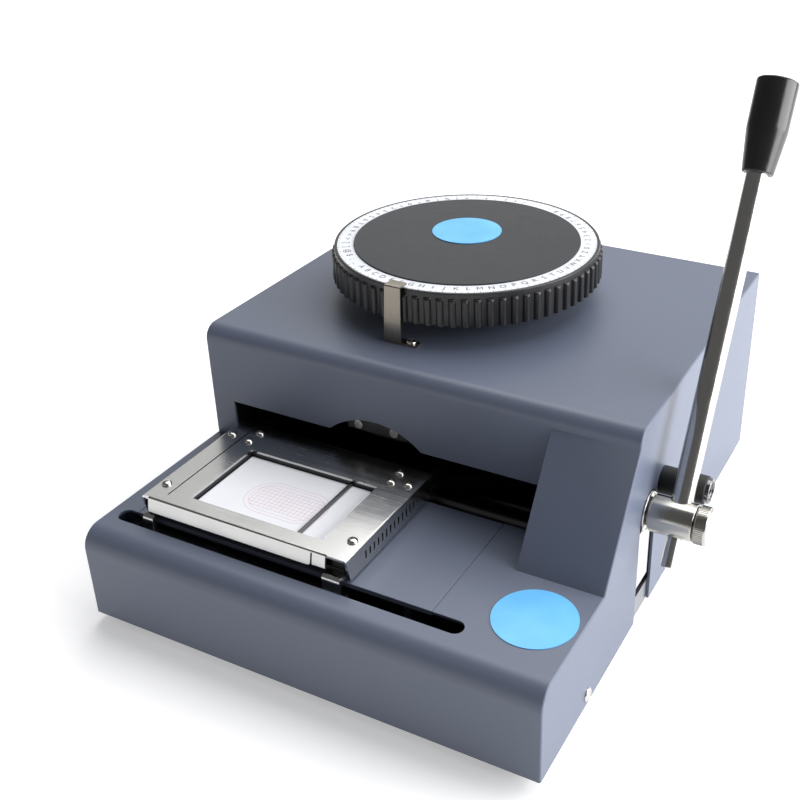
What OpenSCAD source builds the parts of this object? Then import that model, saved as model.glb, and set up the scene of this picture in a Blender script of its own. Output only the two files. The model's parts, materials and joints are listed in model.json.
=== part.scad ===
// Hand-operated metal tag and card embosser: a painted sheet cover over a steel frame, a lettered dial that
// turns two type wheels, a press lever at the right, and a card tray on a cross carriage at the front.
// Every module works from the front left bottom corner of the cover; machine() moves it to the part's origin,
// which is on the ground at the middle of the overall width and depth.

/* [Cover] */
// Width of the sheet cover
body_w = 280; // [276:1:300]
// Depth of the sheet cover
body_d = 348; // [346:1:370]
// Height of the front deck above the cover's bottom edge
deck_h = 56; // [55:0.5:57]
// Height of the top face above the cover's bottom edge
top_h = 130; // [129:1:140]
// Distance of the tall front wall behind the front face
wall_y = 120; // [118:1:121]
// Thickness of the cover's sheet steel
sheet_t = 1.5; // [1:0.1:2]
// Bend radius between the front face and the deck
front_r = 12; // [6:1:16]
// Bend radius between the tall wall and the top face
top_r = 9; // [5:1:12]
// Left edge of the sloped wing at the right of the tall wall
wing_x = 230; // [228:1:234]
// Front foot of the wing's slope on the deck
wing_y = 77; // [70:1:90]

/* [Mouth and deck] */
// Left edge of the card mouth
mouth_x = 16; // [15:0.5:16.5]
// Height of the card mouth above the deck
mouth_h = 25.5; // [23:0.5:27]
// Rise of the arch over the middle of the mouth
arch_h = 12; // [6:1:14]
// Half width of the arch at its foot
arch_half_w = 31; // [24:1:36]
// Front edge of the slot for the carriage legs
slot_y = 18.8; // [17:0.2:20]
// Width of the slot for the carriage legs
slot_w = 10; // [9:0.5:12]
// Right edge of the loose deck plate
deck_plate_x = 206.3; // [200:0.1:210]

/* [Dial] */
// Dial axis, from the left side
dial_x = 118; // [117:0.5:119]
// Dial axis, from the front face
dial_y = 239; // [238:0.5:240]
// Outer radius of the dial's rim
dial_r = 83.7; // [70:0.1:86]
// Height of the dial's gripping skirt
dial_h = 21; // [18:0.5:24]
// Gap between the top face and the dial
dial_gap = 13.5; // [8:0.5:16]
// Number of ribs on the skirt
rib_count = 72; // [60:1:90]

/* [Type wheels] */
// Radius of the two type wheels
wheel_r = 104; // [103:0.5:104]
// Thickness of each type wheel
wheel_t = 10; // [9:0.5:11]
// Radius of the circle of type pins
pin_circle_r = 99.5; // [99:0.5:100]
// Radius of one type pin
pin_r = 3; // [2.5:0.1:3.2]

/* [Press lever] */
// Press shaft axis, from the front face
shaft_y = 140; // [139:0.5:141]
// Press shaft axis above the cover's bottom edge
shaft_z = 70; // [69:0.5:70]
// Angle by which the lever leans back at rest
lever_lean = 29.4; // [28.5:0.1:29.5]
// Length from the press shaft axis to the grip's lower end
lever_l = 190; // [150:1:220]
// Length of the grip
grip_l = 51.5; // [45:0.5:80]
// Full pull of the lever
lever_pull = 75; // [60:1:75]
// Rocking angle of the two press arms at full pull
press_rock = 8.6; // [7:0.1:8.6]

/* [Card tray] */
// Left edge of the tray
tray_x = 23; // [23:0.5:24]
// Width of the tray
tray_w = 135; // [134:0.5:135]
// Front edge of the tray
tray_y = 26.6; // [26.6:0.1:28]
// Length of the tray
tray_l = 90.4; // [90:0.1:91]
// Height of the tray's top above the deck
tray_rise = 15.5; // [15:0.1:15.6]
// Number of line slots in the tray's right wall
line_count = 13; // [8:1:14]
// Distance between two lines
line_pitch = 4.2; // [3.5:0.1:4.3]

/* [Hidden] */
$fn = 96;
eps = 0.01;
// radial clearance of a turning or sliding fit
run_fit = 0.05;
// clearance radius of an M3 and of an M4 screw
m3_hole = 1.6;
m4_hole = 2.1;
// characters on the dial, and so type pin pairs
type_count = 70;
// a standard card
card_w = 85.6;
card_l = 54;
foot_h = 6;
knob_end_x = 34.8;
screw_head = 1.8;
centre_x = (body_w + knob_end_x - screw_head) / 2;
centre_y = (body_d + screw_head) / 2;

// heights of the working levels
tray_top = deck_h + tray_rise;
card_z = tray_top - 4.6;
card_t = 0.5;
wheel_gap_low = deck_h - 1;
wheel_gap_high = tray_top + 2.5;
upper_wheel_top = wheel_gap_high + wheel_t;
lower_wheel_bottom = wheel_gap_low - wheel_t;
pin_proud = 4;
pin_head_high = upper_wheel_top + pin_proud;
pin_head_low = lower_wheel_bottom - pin_proud;
base_t = 2.5;
plate_top = 106;
bridge_t = 6;
dial_base = top_h + dial_gap;
dial_top = dial_base + dial_h;

// frame plates, from the left side
left_plate_x = 4;
plate_t = 6;
inner_plate_x = 226;
outer_plate_x = 264;
frame_y = 125;
frame_back = 330;

// press linkage
punch_y = dial_y - pin_circle_r;
shaft_r = 8;
bush_r = 11;
rocker_r = 6;
rocker_y = 170;
upper_rocker_z = 98;
lower_rocker_z = 24;
nose_reach = 20;
nose_r = 6;
nose_gap = 0.5;
tip_travel = 5;
tip_r = 3.5;
crank_t = 6;
upper_crank_x = 240;
lower_crank_x = 252;
cam_t = 10;
shaft_pos = [shaft_y, shaft_z];
upper_pivot = [rocker_y, upper_rocker_z];
lower_pivot = [rocker_y, lower_rocker_z];

// hub, lever and bumper at the right side
hub_x = body_w + 2;
hub_r = 10.5;
hub_l = 25;
lever_x = body_w + 16.8;
lever_r = 6.1;
tail_r = 4;
tail_l = 27;
knob_r = 10.8;
bumper_r = 8.1;
bumper_l = 26;
bumper_screw_r = 3;
bumper_pos = [shaft_y + 21.2, shaft_z + 8];

// carriage
bar_w = 6;
bar_h = 4.4;
bar_z = deck_h + 2;
bar_left_x = tray_x + 4;
bar_right_x = tray_x + tray_w - 10;
bar_front_y = 30;
bar_back_y = 222;
leg_y = 23;
leg_t = 3;
rod_r = 5;
front_rod = [24.5, 40];
rear_rod = [124, 48];
card_x = tray_x + 26.2;
card_y = tray_y + 10.2;
window_w = card_w + 1.6;
window_l = card_l + 1;

paint = [0.36, 0.39, 0.47];
steel = [0.62, 0.63, 0.65];
stainless = [0.80, 0.80, 0.79];
black = [0.07, 0.07, 0.08];
nickel = [0.74, 0.73, 0.70];
bronze = [0.72, 0.55, 0.30];
sky = [0.42, 0.77, 0.98];
alloy = [0.70, 0.71, 0.73];

// ---- placing helpers ----
module machine() {
    translate([-centre_x, -centre_y, foot_h]) children();
}
// a flat outline in Y and Z, made solid from x0 to x1
module along_x(x0, x1) {
    translate([x0, 0, 0]) rotate([90, 0, 90]) linear_extrude(x1 - x0) children();
}
// a flat outline in X and Z, made solid from y0 to y1
module along_y(y0, y1) {
    translate([0, y1, 0]) rotate([90, 0, 0]) linear_extrude(y1 - y0) children();
}
module box(x0, x1, y0, y1, z0, z1) {
    translate([x0, y0, z0]) cube([x1 - x0, y1 - y0, z1 - z0]);
}
module rod_x(x0, x1, pos, r) {
    translate([x0, pos[0], pos[1]]) rotate([0, 90, 0]) cylinder(r = r, h = x1 - x0);
}
module rod_z(pos, z0, z1, r) {
    translate([pos[0], pos[1], z0]) cylinder(r = r, h = z1 - z0);
}
// pan head screw along Z: shank below z, head above it
module pan_screw(r, shank, head_h = screw_head) {
    translate([0, 0, -shank]) cylinder(r = r, h = shank + eps);
    cylinder(r = r * 1.9, h = head_h);
}
// socket head screw along Z with its head above z
module socket_screw(r, shank) {
    difference() {
        union() {
            translate([0, 0, -shank]) cylinder(r = r, h = shank + eps);
            cylinder(r = r * 1.7, h = r * 1.8);
        }
        translate([0, 0, r * 0.8]) cylinder(r = r * 0.95, h = r * 2, $fn = 6);
    }
}

// ---- cover ----
// block outline with one rounded top front corner
module bent_block(y0, y1, z1, r) {
    translate([y0 + r, -eps]) square([y1 - y0 - r, z1 + eps]);
    translate([y0, -eps]) square([r + eps, z1 - r + eps]);
    translate([y0 + r, z1 - r]) circle(r);
}
module side_profile(inset) {
    bent_block(inset, wall_y + 3 * top_r, deck_h - inset, front_r - inset);
    bent_block(wall_y + inset, body_d - inset, top_h - inset, top_r - inset);
}
wing_angle = 56;
// sloped wing outline; inset moves the slope and the top inwards by the sheet thickness
module wing_profile(inset, z0) {
    run = (z0 - deck_h) / tan(wing_angle) + inset / sin(wing_angle);
    bend_y = wing_y + (top_r + (top_h - top_r - deck_h) * cos(wing_angle)) / sin(wing_angle);
    r = top_r - inset;
    translate([bend_y, top_h - top_r]) circle(r);
    polygon([
        [wing_y + run, z0],
        [bend_y - r * sin(wing_angle), top_h - top_r + r * cos(wing_angle)],
        [bend_y, top_h - top_r],
        [bend_y, top_h - inset],
        [wall_y + 4 * top_r, top_h - inset],
        [wall_y + 4 * top_r, z0]
    ]);
}
module slot_outline(x0, x1, y0, w, r) {
    translate([x0 + r, y0]) square([x1 - x0 - 2 * r, w]);
    translate([x0, y0 + r]) square([x1 - x0, w - 2 * r]);
    for (x = [x0 + r, x1 - r], y = [y0 + r, y0 + w - r]) translate([x, y]) circle(r);
}
slot_x0 = 7;
slot_x1 = 227;
deck_open_y = 111.6;
module cover_openings() {
    arch_r = (arch_half_w * arch_half_w + arch_h * arch_h) / (2 * arch_h);
    translate([0, 0, deck_h - 4]) linear_extrude(8) slot_outline(slot_x0, slot_x1, slot_y, slot_w, slot_w / 2 - eps);
    box(mouth_x - 0.3, deck_plate_x + 0.3, slot_y + slot_w - 1, wall_y, deck_h - 4, deck_h + 1);
    box(mouth_x, wing_x, deck_open_y, wall_y + 4, deck_h - 4, deck_h + mouth_h);
    intersection() {
        along_y(wall_y - 4, wall_y + 4) translate([dial_x, deck_h + mouth_h + arch_h - arch_r]) circle(arch_r);
        box(0, body_w, wall_y - 5, wall_y + 5, deck_h + 2, top_h);
    }
    rod_z([dial_x, dial_y], top_h - 4, top_h + 1, 23);
    along_x(body_w - 4, body_w + 1) {
        translate([shaft_y, shaft_z]) circle(12.5);
        translate([shaft_y - 12.5, -1]) square([25, shaft_z + 1]);
    }
    rod_x(body_w - 4, body_w + 1, bumper_pos, bumper_screw_r + run_fit);
    rod_z(pointer_screw_pos, top_h - 4, top_h + 1, m3_hole);
}
module cover_shell() {
    color(paint) machine() difference() {
        union() {
            along_x(0, body_w) side_profile(0);
            along_x(wing_x, body_w) wing_profile(0, deck_h - 1);
        }
        along_x(sheet_t, body_w - sheet_t) side_profile(sheet_t);
        along_x(wing_x + sheet_t, body_w - sheet_t) wing_profile(sheet_t, deck_h - 4);
        box(-1, body_w + 1, -1, body_d + 1, -5, 0);
        cover_openings();
        for (s = cover_screw_spots) at_cover_screw(s) translate([0, 0, -5]) cylinder(r = m4_hole, h = 6);
    }
}
// each spot is a side, 0 for left, 1 for right, 2 for back, and a distance along it
cover_screw_z = 7;
cover_screw_spots = [[0, 58], [0, 240], [1, 58], [1, 240], [2, 60], [2, 220]];
module at_cover_screw(s) {
    if (s[0] == 0) translate([0, s[1], cover_screw_z]) rotate([0, -90, 0]) children();
    if (s[0] == 1) translate([body_w, s[1], cover_screw_z]) rotate([0, 90, 0]) children();
    if (s[0] == 2) translate([s[1], body_d, cover_screw_z]) rotate([-90, 0, 0]) children();
}
module cover_screws() {
    color(nickel) machine() for (s = cover_screw_spots) at_cover_screw(s) pan_screw(2, 3.4);
}
module deck_plate() {
    y0 = slot_y + slot_w;
    color(paint) machine() {
        box(mouth_x, deck_plate_x, y0, deck_open_y - 0.3, deck_h - sheet_t, deck_h);
        box(mouth_x, deck_plate_x, y0, y0 + sheet_t, deck_h - 3, deck_h);
    }
}
post_spots = [[60, 40], [60, 100], [186, 40], [186, 100]];
module deck_posts() {
    color(steel) machine() for (p = post_spots) rod_z(p, base_t, deck_h - sheet_t, 4);
}

// ---- base, feet and frame ----
flange_h = 14;
module base_plate() {
    edge = sheet_t + 0.2;
    right = body_w - edge;
    back = body_d - edge;
    color(steel) machine() difference() {
        union() {
            box(edge, right, edge, back, 0, base_t);
            box(edge, edge + sheet_t, edge, back, 0, flange_h);
            box(right - sheet_t, right, edge, back, 0, flange_h);
            box(edge, right, back - sheet_t, back, 0, flange_h);
        }
        for (s = cover_screw_spots) at_cover_screw(s) translate([0, 0, -5]) cylinder(r = m4_hole, h = 6);
        for (f = foot_spots) rod_z(f, -1, base_t + 1, m4_hole);
    }
}
foot_inset = 20;
foot_spots = [for (x = [foot_inset, body_w - foot_inset], y = [foot_inset - 3, body_d - foot_inset]) [x, y]];
foot_r = 10;
foot_recess = 3;
module rubber_feet() {
    color(black) machine() for (f = foot_spots) difference() {
        rod_z(f, -foot_h, 0, foot_r);
        rod_z(f, -foot_h - 1, -foot_h + foot_recess, foot_r / 2);
        rod_z(f, -foot_h, 1, m4_hole);
    }
}
module foot_screws() {
    color(nickel) machine() for (f = foot_spots) {
        rod_z(f, -foot_h + foot_recess - 2, -foot_h + foot_recess, 3.8);
        rod_z(f, -foot_h + foot_recess - eps, base_t + 2, 2);
    }
}
module frame_plate(x, y1) {
    difference() {
        box(x, x + plate_t, frame_y, y1, base_t, plate_top);
        rod_x(x - 1, x + plate_t + 1, upper_pivot, rocker_r + run_fit);
        rod_x(x - 1, x + plate_t + 1, lower_pivot, rocker_r + run_fit);
        children();
    }
}
lightening_r = 16;
module lightening_holes(x) {
    for (y = [245, 295]) rod_x(x - 1, x + plate_t + 1, [y, 54], lightening_r);
}
module left_frame_plate() {
    color(steel) machine() frame_plate(left_plate_x, frame_back) lightening_holes(left_plate_x);
}
module inner_frame_plate() {
    color(steel) machine() frame_plate(inner_plate_x, frame_back) {
        rod_x(inner_plate_x - 1, inner_plate_x + plate_t + 1, shaft_pos, bush_r);
        lightening_holes(inner_plate_x);
    }
}
module outer_frame_plate() {
    color(steel) machine() frame_plate(outer_plate_x, 215)
        rod_x(outer_plate_x - 1, outer_plate_x + plate_t + 1, shaft_pos, bush_r);
}
beam_z = 96;
beam_h = 12;
guide_w = 40;
guide_t = 2;
guide_z = 84;
guide_screws = [for (dx = [-12, 12]) [dial_x + dx, beam_z - 8]];
module front_beam() {
    color(steel) machine() {
        box(left_plate_x + plate_t, inner_plate_x, frame_y, frame_y + plate_t, beam_z, beam_z + beam_h);
        difference() {
            box(dial_x - guide_w / 2, dial_x + guide_w / 2, frame_y - guide_t, frame_y, guide_z, beam_z + beam_h);
            for (p = guide_screws) along_y(frame_y - guide_t - 1, frame_y + 1) translate(p) circle(m3_hole);
        }
    }
}
bridge_y0 = 190;
bridge_y1 = 288;
bridge_spots = [for (x = [left_plate_x + plate_t / 2, inner_plate_x + plate_t / 2], y = [205, 273]) [x, y]];
module bearing_bridge() {
    color(steel) machine() difference() {
        box(left_plate_x, inner_plate_x + plate_t, bridge_y0, bridge_y1, plate_top, plate_top + bridge_t);
        rod_z([dial_x, dial_y], plate_top - 1, plate_top + bridge_t + 1, 15);
        for (p = bridge_spots) rod_z(p, plate_top - 1, plate_top + bridge_t + 1, m4_hole);
    }
}
module frame_screws() {
    color(black) machine() {
        for (p = bridge_spots) translate([p[0], p[1], plate_top + bridge_t]) socket_screw(2, bridge_t - 0.2);
        for (p = guide_screws) translate([p[0], frame_y - guide_t, p[1]]) rotate([90, 0, 0])
            pan_screw(1.5, guide_t, 1.2);
    }
}
spindle_r = 10;
module upper_bearing() {
    color(bronze) machine() difference() {
        union() {
            rod_z([dial_x, dial_y], plate_top - 5, plate_top + bridge_t + 3, 15);
            rod_z([dial_x, dial_y], plate_top + bridge_t, plate_top + bridge_t + 3, 20);
        }
        rod_z([dial_x, dial_y], plate_top - 6, plate_top + bridge_t + 4, spindle_r + run_fit);
    }
}
lower_bearing_top = 30;
module lower_bearing() {
    color(bronze) machine() difference() {
        union() {
            rod_z([dial_x, dial_y], base_t, base_t + 6, 26);
            rod_z([dial_x, dial_y], base_t, lower_bearing_top, 18);
        }
        rod_z([dial_x, dial_y], base_t + 3, lower_bearing_top + 1, spindle_r + run_fit);
    }
}
module shaft_bushes() {
    color(bronze) machine() for (x = [inner_plate_x, outer_plate_x]) difference() {
        rod_x(x, x + plate_t, shaft_pos, bush_r);
        rod_x(x - 1, x + plate_t + 1, shaft_pos, shaft_r + run_fit);
    }
}
// pedestal plate and boss of the press shaft, seen through the right panel's slot
module shaft_boss() {
    pedestal_x = outer_plate_x + plate_t;
    color(nickel) machine() difference() {
        union() {
            rod_x(pedestal_x, body_w + 1, shaft_pos, 11.9);
            box(pedestal_x, body_w - 0.5, shaft_y - 11.8, shaft_y + 6.2, 23.5, shaft_z);
        }
        rod_x(outer_plate_x, body_w + 2, shaft_pos, shaft_r + run_fit);
    }
}
seat_y = 200;
spring_y = 167.8;
module spring_seat() {
    color(steel) machine() box(inner_plate_x + plate_t, outer_plate_x, seat_y, seat_y + 5, 48, 92);
}
// each return spring is drawn as the sleeve its coils fill, from its press arm back to the seat
spring_r = 3;
spring_wire = 0.8;
spring_spots = [[upper_crank_x + crank_t / 2, 73], [lower_crank_x + crank_t / 2, 61]];
module crank_springs() {
    color(steel) machine() for (s = spring_spots) along_y(spring_y, seat_y - 0.1) translate(s) difference() {
        circle(spring_r);
        circle(spring_r - spring_wire);
    }
}

// ---- pieces on the outside of the cover ----
pointer_x = 108;
pointer_w = 11.5;
pointer_y = 151.2;
pointer_t = 1.2;
pointer_tab = 8;
pointer_tip_x = 109.9;
pointer_tip_w = 10.5;
pointer_foot_w = 22;
pointer_foot_l = 6.5;
pointer_screw_pos = [125, 154.4];
module index_pointer() {
    top = dial_top + 2.2;
    color(stainless) machine() {
        along_y(pointer_y, pointer_y + pointer_t) polygon([
            [pointer_x, top_h], [pointer_x + pointer_w, top_h], [pointer_tip_x + pointer_tip_w, top - pointer_t],
            [pointer_tip_x + pointer_tip_w, top], [pointer_tip_x, top], [pointer_tip_x, top - pointer_t]
        ]);
        box(pointer_tip_x, pointer_tip_x + pointer_tip_w, pointer_y, pointer_y + pointer_tab, top - pointer_t, top);
        difference() {
            box(pointer_x, pointer_x + pointer_foot_w, pointer_y, pointer_y + pointer_foot_l, top_h,
                top_h + pointer_t);
            rod_z(pointer_screw_pos, top_h - 1, top_h + 2, m3_hole);
        }
    }
}
module pointer_screw() {
    color(nickel) machine() translate([pointer_screw_pos[0], pointer_screw_pos[1], top_h + pointer_t])
        pan_screw(1.5, 2.6, 2);
}
module handle_bumper() {
    color(black) machine() difference() {
        rod_x(body_w, body_w + bumper_l, bumper_pos, bumper_r);
        rod_x(body_w - 1, body_w + bumper_l + 1, bumper_pos, bumper_screw_r + run_fit);
    }
}
module bumper_screw() {
    color(nickel) machine() {
        rod_x(body_w - 3, body_w + bumper_l, bumper_pos, bumper_screw_r);
        rod_x(body_w + bumper_l, body_w + bumper_l + 2.2, bumper_pos, 7.2);
    }
}
badge_t = 0.6;
badge_r = 22.2;
module deck_badge() {
    color(sky) machine() rod_z([254.8, 46.7], deck_h, deck_h + badge_t, badge_r);
}

// ---- dial and type wheels ----
module on_dial() {
    machine() translate([dial_x, dial_y, 0]) children();
}
skirt_t = 4;
disc_t = 4;
rib_depth = 1.9;
rim_band = 4.5;
ring_r0 = 71.5;
ring_r1 = 81.8;
ring_t = 0.6;
ring_sunk = 0.8;
disc_raised = 0.6;
boss_r = 18;
module dial_knob() {
    pitch = 360 / rib_count;
    rib_r = dial_r + rib_depth;
    color(black) on_dial() {
        difference() {
            union() {
                translate([0, 0, dial_base]) cylinder(r = dial_r, h = dial_h);
                translate([0, 0, dial_top - 1]) cylinder(r = ring_r0, h = 1 + disc_raised);
                translate([0, 0, dial_base]) linear_extrude(dial_h - rim_band) polygon([
                    for (i = [0:rib_count - 1], c = [[0, 0], [0.15, 1], [0.45, 1], [0.6, 0]])
                        let (a = (i + c[0]) * pitch, r = dial_r - 0.5 + (rib_depth + 0.5) * c[1])
                        [r * cos(a), r * sin(a)]
                ]);
            }
            translate([0, 0, dial_base - 1]) cylinder(r = dial_r - skirt_t, h = dial_h - disc_t + 1);
            translate([0, 0, dial_top - ring_sunk]) difference() {
                cylinder(r = ring_r1, h = 2);
                translate([0, 0, -1]) cylinder(r = ring_r0, h = 4);
            }
        }
        difference() {
            translate([0, 0, top_h - 6]) cylinder(r = boss_r, h = dial_top - disc_t - top_h + 6 + eps);
            translate([0, 0, top_h - 7]) cylinder(r = spindle_r, h = dial_top - disc_t - top_h - 1);
        }
    }
}
module dial_ring() {
    color("white") on_dial() translate([0, 0, dial_top - ring_sunk]) difference() {
        cylinder(r = ring_r1, h = ring_t);
        translate([0, 0, -1]) cylinder(r = ring_r0, h = 3);
    }
}
module dial_badge() {
    color(sky) on_dial() translate([-6, 11, dial_top + disc_raised]) cylinder(r = badge_r, h = badge_t);
}
module dial_spindle() {
    color(steel) on_dial() {
        translate([0, 0, base_t + 3.3]) cylinder(r = spindle_r, h = dial_top - disc_t - base_t - 11.5);
        translate([0, 0, wheel_gap_low]) cylinder(r = boss_r, h = wheel_gap_high - wheel_gap_low);
    }
}
// the place on the pin circle that stands over the print point, at the front
print_place = round(type_count / 2);
module at_pin(i) {
    rotate(90 + 360 * i / type_count) translate([pin_circle_r, 0, 0]) children();
}
module type_pin(z0) {
    translate([0, 0, z0]) cylinder(r = pin_r - 0.04, h = wheel_t + pin_proud, $fn = 32);
}
module type_wheel(z0) {
    translate([0, 0, z0]) difference() {
        cylinder(r = wheel_r, h = wheel_t);
        translate([0, 0, -1]) cylinder(r = spindle_r, h = wheel_t + 2);
        for (i = [0:type_count - 1]) at_pin(i) translate([0, 0, -1]) cylinder(r = pin_r, h = wheel_t + 2, $fn = 32);
    }
}
module type_pins(z0) {
    for (i = [0:type_count - 1]) if (i != print_place) at_pin(i) type_pin(z0);
}
module upper_type_wheel() {
    color(alloy) on_dial() type_wheel(wheel_gap_high);
}
module lower_type_wheel() {
    color(alloy) on_dial() type_wheel(lower_wheel_bottom);
}
module type_punches() {
    color(steel) on_dial() type_pins(wheel_gap_high);
}
module type_dies() {
    color(steel) on_dial() type_pins(pin_head_low);
}
module print_punch() {
    color(steel) on_dial() at_pin(print_place) type_pin(wheel_gap_high);
}
module print_die() {
    color(steel) on_dial() at_pin(print_place) type_pin(pin_head_low);
}
index_r = 56;
index_z = 90;
notch = 1.5;
module index_disc() {
    color(steel) on_dial() difference() {
        translate([0, 0, index_z]) cylinder(r = index_r, h = 4);
        translate([0, 0, index_z - 1]) cylinder(r = spindle_r, h = 6);
        for (i = [0:type_count - 1]) rotate(360 * i / type_count) translate([index_r, 0, index_z - 1])
            rotate(45) cube([2 * notch, 2 * notch, 12], center = true);
    }
}

// ---- press lever, cams and press arms ----
// direction from the press shaft to a follower nose whose crank stands square to it
function nose_angle(pivot, side) =
    let (v = pivot - shaft_pos) atan2(v[1], v[0]) + side * acos(nose_reach / norm(v));
upper_nose_angle = nose_angle(upper_pivot, -1);
lower_nose_angle = nose_angle(lower_pivot, 1);
function nose_pos(angle) = shaft_pos + nose_reach * [cos(angle), sin(angle)];
// centre of the nose, seen from the turning cam, when the lever has been pulled by an angle
function turned(p, a) = [p[0] * cos(a) - p[1] * sin(a), p[0] * sin(a) + p[1] * cos(a)];
function nose_path(pivot, angle, side, pull) =
    turned(pivot + turned(nose_pos(angle) - pivot, side * press_rock * pull / lever_pull) - shaft_pos, -pull);
function cam_point(pivot, angle, side, pull) =
    let (a = nose_path(pivot, angle, side, pull - 1), b = nose_path(pivot, angle, side, pull + 1))
    let (along = (b - a) / norm(b - a))
    nose_path(pivot, angle, side, pull) - (nose_r + nose_gap) * [-along[1], along[0]];
module cam(x, pivot, angle, side) {
    lift = [for (pull = [-5:5:lever_pull + 5]) cam_point(pivot, angle, side, pull)];
    first = lift[0];
    last = lift[len(lift) - 1];
    a0 = atan2(first[1], first[0]);
    a1 = atan2(last[1], last[0]);
    gap = (a1 - a0 + 720) % 360;
    back = [for (i = [1:23]) let (a = a0 + gap * i / 24, r = norm(first) + (norm(last) - norm(first)) * i / 24)
        r * [cos(a), sin(a)]];
    along_x(x, x + cam_t) translate(shaft_pos) difference() {
        polygon(concat(back, [for (i = [len(lift) - 1:-1:0]) lift[i]]));
        circle(shaft_r);
    }
}
module press_cams() {
    color(steel) machine() {
        cam(upper_crank_x - 2, upper_pivot, upper_nose_angle, 1);
        cam(lower_crank_x - 2, lower_pivot, lower_nose_angle, -1);
    }
}
hub_bore_x = hub_x + 8;
module main_shaft() {
    color(steel) machine() rod_x(inner_plate_x + 1, hub_bore_x, shaft_pos, shaft_r);
}
// lever frame: origin on the press shaft axis, +Z along the lever at rest
module on_lever() {
    machine() translate([lever_x, shaft_y, shaft_z]) rotate([-lever_lean, 0, 0]) children();
}
module shaft_hub() {
    color(nickel) difference() {
        machine() rod_x(hub_x, hub_x + hub_l, shaft_pos, hub_r);
        machine() rod_x(hub_x - 1, hub_bore_x, shaft_pos, shaft_r);
        machine() rod_x(hub_x + hub_l - 3.5, hub_x + hub_l + 1, shaft_pos, 4.05);
        on_lever() translate([0, 0, -8]) cylinder(r = lever_r + 0.02, h = 30);
        on_lever() translate([0, 0, -30]) cylinder(r = tail_r + 0.05, h = 30);
    }
}
module lever_rod() {
    color(nickel) on_lever() {
        translate([0, 0, -8]) cylinder(r = lever_r, h = lever_l + 28);
        translate([0, 0, -tail_l]) cylinder(r = tail_r, h = tail_l);
    }
}
module lever_grip() {
    top_r1 = 11.5;
    low_r = 8.7;
    edge = 1.6;
    color(black) on_lever() difference() {
        rotate_extrude() {
            polygon([
                [0, lever_l], [low_r - 1, lever_l], [low_r, lever_l + 1], [top_r1, lever_l + grip_l * 0.45],
                [top_r1, lever_l + grip_l - edge], [0, lever_l + grip_l - edge]
            ]);
            translate([top_r1 - edge, lever_l + grip_l - edge]) intersection() {
                circle(edge);
                square(edge);
            }
            translate([0, lever_l + grip_l - edge - eps]) square([top_r1 - edge, edge]);
        }
        translate([0, 0, lever_l - 1]) cylinder(r = lever_r, h = 21 + eps);
    }
}
module clamp_knob() {
    grooves = 40;
    x0 = hub_x + hub_l + 0.4;
    x1 = body_w + knob_end_x;
    color(nickel) machine() {
        difference() {
            rod_x(x0, x1, shaft_pos, knob_r);
            for (i = [0:grooves - 1]) translate([x0, shaft_y, shaft_z]) rotate([360 * i / grooves, 0, 0])
                translate([0.9, knob_r, -0.3]) cube([x1 - x0 - 1.8, 1, 0.6]);
        }
        rod_x(hub_x + hub_l - 3, x0 + eps, shaft_pos, 4);
    }
}
// flat bar in the Y and Z plane between two points
module bar_2d(p, q, w) {
    translate(p) rotate(atan2(q[1] - p[1], q[0] - p[0])) translate([0, -w / 2]) square([norm(q - p), w]);
}
module crank(x, pivot, angle) {
    along_x(x, x + crank_t) difference() {
        union() {
            translate(pivot) circle(11);
            bar_2d(pivot, nose_pos(angle), 8);
            translate(nose_pos(angle)) circle(nose_r);
        }
        translate(pivot) circle(rocker_r);
    }
}
// side is 1 for the arm above the wheels, -1 for the arm below them
module press_arm(pivot, side) {
    half = 12;
    tip_end = side > 0 ? pin_head_high + tip_travel : pin_head_low - tip_travel;
    root = pivot[1] + side * 1;
    along_x(dial_x - half, dial_x + half) difference() {
        union() {
            translate(pivot) circle(11);
            translate([punch_y - 5, root - 4]) square([rocker_y - punch_y + 5, 9]);
        }
        translate(pivot) circle(rocker_r);
    }
    rod_z([dial_x, punch_y], min(root, tip_end), max(root, tip_end), tip_r);
}
module rocker_shaft(pivot) {
    rod_x(left_plate_x + 1, outer_plate_x + plate_t - 1, pivot, rocker_r);
}
module upper_rocker_shaft() {
    color(steel) machine() rocker_shaft(upper_pivot);
}
module upper_press_arm() {
    color(alloy) machine() {
        press_arm(upper_pivot, 1);
        crank(upper_crank_x, upper_pivot, upper_nose_angle);
    }
}
module lower_rocker_shaft() {
    color(steel) machine() rocker_shaft(lower_pivot);
}
module lower_press_arm() {
    color(alloy) machine() {
        press_arm(lower_pivot, -1);
        crank(lower_crank_x, lower_pivot, lower_nose_angle);
    }
}
pawl_pivot = [188, 205];
pawl_swing = 10;
feed_pivot = [141, 26];
feed_y = 122;
module pawl_posts() {
    color(steel) machine() {
        rod_z(pawl_pivot, index_z - 2, plate_top, 3);
        box(feed_pivot[0] - 5, feed_pivot[0] + 5, feed_y - 9, feed_y - 1, base_t, feed_pivot[1] + 5);
        along_y(feed_y - 1 - eps, feed_y + 5) translate(feed_pivot) circle(2);
    }
}
// the tip stands in a notch of the index disc when the pawl has swung in, and is drawn swung out
module lock_pawl() {
    tip = [dial_x + index_r - 1.6, dial_y] - pawl_pivot;
    color(alloy) machine() translate(pawl_pivot) rotate(-pawl_swing) translate([0, 0, index_z]) linear_extrude(4)
        difference() {
            union() {
                circle(7);
                polygon([
                    [-6, 0], [6, 0], tip + [12, 4], tip + [5, 4], tip + [2.4, 1.3], tip, tip + [2.4, -1.3],
                    tip + [5, -4]
                ]);
            }
            circle(3 + run_fit);
        }
}
module feed_pawl() {
    tip = [-16, 7];
    color(alloy) machine() along_y(feed_y, feed_y + 4) translate(feed_pivot) difference() {
        union() {
            circle(4.5);
            polygon([[-1, -4], [2, 4], tip + [3, 0], tip, tip + [0, -4]]);
        }
        circle(2 + run_fit);
    }
}

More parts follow.
